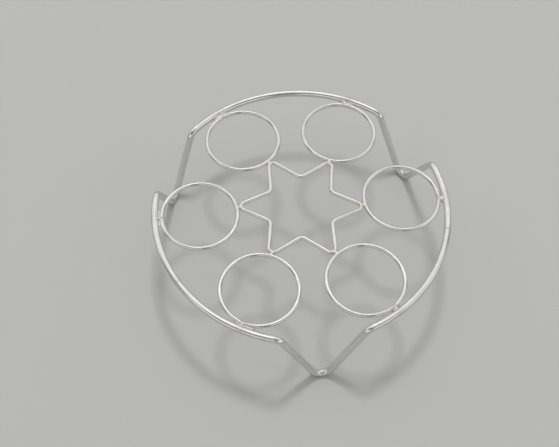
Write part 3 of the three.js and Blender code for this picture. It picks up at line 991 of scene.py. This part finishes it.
def add_key(scene, stage):
    """The square key lamp, which faces the rack and casts its shadow, but isn't mirrored in the metal."""
    light = bpy.data.lights.new("key_softbox", "AREA")
    light.shape = "SQUARE"
    light.size = stage.key_side
    light.energy = stage.key_radiance * math.pi * stage.key_side ** 2
    softbox = bpy.data.objects.new("key_softbox", light)
    way = outward(stage.key_azimuth) * math.cos(stage.key_elevation) + UP * math.sin(stage.key_elevation)
    softbox.location = way * stage.key_distance
    softbox.rotation_euler = way.to_track_quat("Z", "Y").to_euler()
    softbox.visible_camera = False
    softbox.visible_glossy = False
    scene.collection.objects.link(softbox)


# Light of the studio's foot, walls and ceiling, and the elevations in degrees where these pass over
SKY_FOOT, SKY_WALL, SKY_CEILING = 0.40, 0.38, 0.92
FOOT_EDGE = (7, 10)
CEILING_EDGE = (42, 45)

# Pale panels: azimuth from and to, elevation from and to, in degrees, and the light that they add
SKY_PANELS = (
    ((20, 165), (12, 40), 0.87),
    ((-75, 8), (12, 40), 0.85),
    ((-170, -95), (12, 40), 0.82),
    ((25, 150), (44, 80), 0.30),
    ((66, 96), (62, 72), 2.4),
)

# Opening in the ceiling on the side that the rack is seen from, laid out like a panel, and its own light
CEILING_OPENING = ((-170, -30), (44, 65), 0.12)

# Width of the soft edges of the panels and the opening, in degrees
PANEL_EDGE = 3


def panel_light(tree, azimuth, elevation, across, upwards, tone):
    """How much one panel shines in a direction, with soft edges."""
    inside = tone
    for value, (low, high) in ((azimuth, across), (elevation, upwards)):
        for edge, side in ((low, 1), (high, -1)):
            limits = (edge - side * PANEL_EDGE / 2, edge + side * PANEL_EDGE / 2)
            inside = math_node(tree, "MULTIPLY", inside, ranged(tree, value, *limits, 0, 1))
    return inside


def add_sky(scene):
    """A studio for the metal to mirror: grey walls, a pale ceiling with an opening, and pale panels."""
    world = bpy.data.worlds.new("studio")
    world.use_nodes = True
    tree = world.node_tree
    tree.nodes.clear()
    way = add_node(tree, "ShaderNodeTexCoord").outputs["Generated"]
    way = add_node(tree, "ShaderNodeSeparateXYZ", {0: way}).outputs
    azimuth = math_node(tree, "DEGREES", math_node(tree, "ARCTAN2", way["Y"], way["X"]))
    elevation = math_node(tree, "DEGREES", math_node(tree, "ARCSINE", way["Z"]))
    light = ranged(tree, elevation, *FOOT_EDGE, SKY_FOOT, SKY_WALL)
    light = math_node(tree, "ADD", light, ranged(tree, elevation, *CEILING_EDGE, 0, SKY_CEILING - SKY_WALL))
    for across, upwards, tone in SKY_PANELS:
        light = math_node(tree, "ADD", light, panel_light(tree, azimuth, elevation, across, upwards, tone))
    across, upwards, tone = CEILING_OPENING
    shade = panel_light(tree, azimuth, elevation, across, upwards, SKY_CEILING - tone)
    light = math_node(tree, "SUBTRACT", light, shade)
    sky = add_node(tree, "ShaderNodeBackground", {"Strength": light}).outputs["Background"]
    add_node(tree, "ShaderNodeOutputWorld", {"Surface": sky})
    scene.world = world


# Width of the camera's sensor in millimetres, and the nearest and furthest that it sees in metres
SENSOR_WIDTH = 36
NEAREST, FURTHEST = 0.01, 50


def add_camera(scene, stage):
    camera = bpy.data.cameras.new("camera")
    camera.lens = stage.lens
    camera.sensor_width = SENSOR_WIDTH
    camera.clip_start, camera.clip_end = NEAREST, FURTHEST
    holder = bpy.data.objects.new("camera", camera)
    back = outward(stage.azimuth - math.pi / 2) * math.cos(stage.elevation) + UP * math.sin(stage.elevation)
    holder.rotation_mode = "QUATERNION"
    holder.location = Vector(stage.aim) + back * stage.distance
    holder.rotation_quaternion = (-back).to_track_quat("-Z", "Y") @ Quaternion(UP, stage.roll)
    scene.collection.objects.link(holder)
    scene.camera = holder


# Operators

class EGGRACK_OT_frame_wires(bpy.types.Operator):
    """Bend the two wires of the hoop and its three legs"""

    bl_idname = "egg_rack.frame_wires"
    bl_label = "Frame Wires"

    def execute(self, context):
        sizes = context.scene.rack_wires
        plan = RackPlan(sizes)
        front = plan.frame_route(plan.left_joint, plan.right_joint)
        back = plan.frame_route(plan.right_joint, plan.left_joint + math.tau)
        gauge = WireGauge(sizes.frame_wire, sizes.frame_sides, sizes.frame_waves, sizes.frame_wave,
                          INWARD_CREST)
        for seed, (name, route) in enumerate((("front", front), ("back", back)), FRAME_SEED):
            add_wire(context, name + "_wire", name + "_frame_wire", route, gauge, seed)
        return {"FINISHED"}


class EGGRACK_OT_egg_rings(bpy.types.Operator):
    """Bend the six egg rings"""

    bl_idname = "egg_rack.egg_rings"
    bl_label = "Egg Rings"

    def execute(self, context):
        sizes = context.scene.rack_wires
        plan = RackPlan(sizes)
        gauge = thin_gauge(sizes, sizes.ring_wire)
        for k in range(RING_COUNT):
            name = f"ring_{k + 1}"
            add_wire(context, name, "egg_" + name, plan.ring_route(k), gauge, RING_SEED + k)
        return {"FINISHED"}


class EGGRACK_OT_star(bpy.types.Operator):
    """Bend the star that ties the rings together"""

    bl_idname = "egg_rack.star"
    bl_label = "Star"

    def execute(self, context):
        sizes = context.scene.rack_wires
        route = RackPlan(sizes).star_route()
        add_wire(context, "star", "star_wire", route, thin_gauge(sizes, sizes.star_wire), STAR_SEED)
        return {"FINISHED"}


class EGGRACK_OT_ring_welds(bpy.types.Operator):
    """Weld each ring and its two ends to the hoop"""

    bl_idname = "egg_rack.ring_welds"
    bl_label = "Ring Welds"

    def execute(self, context):
        sizes, welds = context.scene.rack_wires, context.scene.rack_welds
        plan = RackPlan(sizes)
        tack = (welds.tack_height, welds.tack_length)
        radii = (sizes.ring_wire / 2, sizes.frame_wire / 2)
        for k in range(RING_COUNT):
            turn = Matrix.Rotation(plan.station(k), 3, UP)
            ends = plan.ring_radius * math.sin(sizes.end_turns[k])
            point, _ = plan.ring_end(k)
            notch = sizes.end_gap / 2 + sizes.ring_wire * math.sin(point)
            lines = (partial(plan.ring_line, index=k), plan.hoop_line)
            span, height, shift = welds.ring_lengths[k], welds.ring_heights[k], welds.ring_shifts[k]
            bead = Bead(span, height, shift, ends, tack, (notch, 0.0))
            seed = RING_WELD_SEED + k
            weld = weld_between(context, f"ring_bead_{k + 1}", bead, lines, radii, turn, seed)
            seat(weld, f"ring_weld_{k + 1}")
        return {"FINISHED"}


class EGGRACK_OT_star_welds(bpy.types.Operator):
    """Weld each tip of the star to its ring"""

    bl_idname = "egg_rack.star_welds"
    bl_label = "Star Welds"

    def execute(self, context):
        sizes, welds = context.scene.rack_wires, context.scene.rack_welds
        plan = RackPlan(sizes)
        wire_ends = sizes.star_gap / 2 + JOINED_REACH
        lines = (plan.ring_side_line, plan.star_tip_line)
        radii = (sizes.ring_wire / 2, sizes.star_wire / 2)
        for k in range(RING_COUNT):
            turn = Matrix.Rotation(plan.station(k), 3, UP)
            joined = (0.0, wire_ends if k == 0 else 0.0)
            bead = Bead(welds.star_length, welds.star_height, joined=joined)
            seed = STAR_WELD_SEED + k
            weld = weld_between(context, f"star_bead_{k + 1}", bead, lines, radii, turn, seed)
            seat(weld, f"star_weld_{k + 1}")
        return {"FINISHED"}


class EGGRACK_OT_butt_welds(bpy.types.Operator):
    """Weld the ends of the two frame wires together"""

    bl_idname = "egg_rack.butt_welds"
    bl_label = "Butt Welds"

    def execute(self, context):
        plan = RackPlan(context.scene.rack_wires)
        welds = context.scene.rack_welds
        joints = (("left", plan.left_joint, welds.left_tilt), ("right", plan.right_joint, welds.right_tilt))
        for seed, (side, joint, tilt) in enumerate(joints, BUTT_SEED):
            rim = butt_weld(context, side + "_butt_rim", joint, tilt, seed)
            seat(rim, side + "_butt_weld")
        return {"FINISHED"}


class EGGRACK_OT_stage(bpy.types.Operator):
    """Set out the floor, the light and the camera"""

    bl_idname = "egg_rack.stage"
    bl_label = "Stage"

    def execute(self, context):
        scene = context.scene
        stage = scene.rack_stage
        add_floor(stage)
        add_key(scene, stage)
        add_sky(scene)
        add_camera(scene, stage)
        scene.view_settings.view_transform = "Standard"
        return {"FINISHED"}


class EGGRACK_PT_panel(bpy.types.Panel):
    """Lists the steps and sizes of the rack"""

    bl_idname = "EGGRACK_PT_panel"
    bl_label = "Egg Steamer Rack"
    bl_space_type = "VIEW_3D"
    bl_region_type = "UI"
    bl_category = "Egg Rack"

    def draw(self, context):
        for operator in OPERATORS:
            self.layout.operator(operator.bl_idname)
        for key in GROUPS:
            group = getattr(context.scene, key)
            box = self.layout.box()
            box.label(text=group.bl_rna.description)
            for name in group.__annotations__:
                box.prop(group, name)


OPERATORS = (
    EGGRACK_OT_frame_wires,
    EGGRACK_OT_egg_rings,
    EGGRACK_OT_star,
    EGGRACK_OT_ring_welds,
    EGGRACK_OT_star_welds,
    EGGRACK_OT_butt_welds,
    EGGRACK_OT_stage,
)
GROUPS = {
    "rack_wires": WireSizes,
    "rack_welds": WeldSizes,
    "rack_finish": RackFinish,
    "rack_stage": StageSettings,
}


def register():
    for group in GROUPS.values():
        bpy.utils.register_class(group)
    for operator in OPERATORS:
        bpy.utils.register_class(operator)
    bpy.utils.register_class(EGGRACK_PT_panel)
    for key, group in GROUPS.items():
        setattr(bpy.types.Scene, key, PointerProperty(type=group))


def unregister():
    for key in GROUPS:
        delattr(bpy.types.Scene, key)
    bpy.utils.unregister_class(EGGRACK_PT_panel)
    for operator in reversed(OPERATORS):
        bpy.utils.unregister_class(operator)
    for group in reversed(GROUPS.values()):
        bpy.utils.unregister_class(group)


def main():
    register()
    bpy.ops.egg_rack.frame_wires()
    bpy.ops.egg_rack.egg_rings()
    bpy.ops.egg_rack.star()
    bpy.ops.egg_rack.ring_welds()
    bpy.ops.egg_rack.star_welds()
    bpy.ops.egg_rack.butt_welds()
    bpy.ops.egg_rack.stage()


if __name__ == "__main__":
    main()
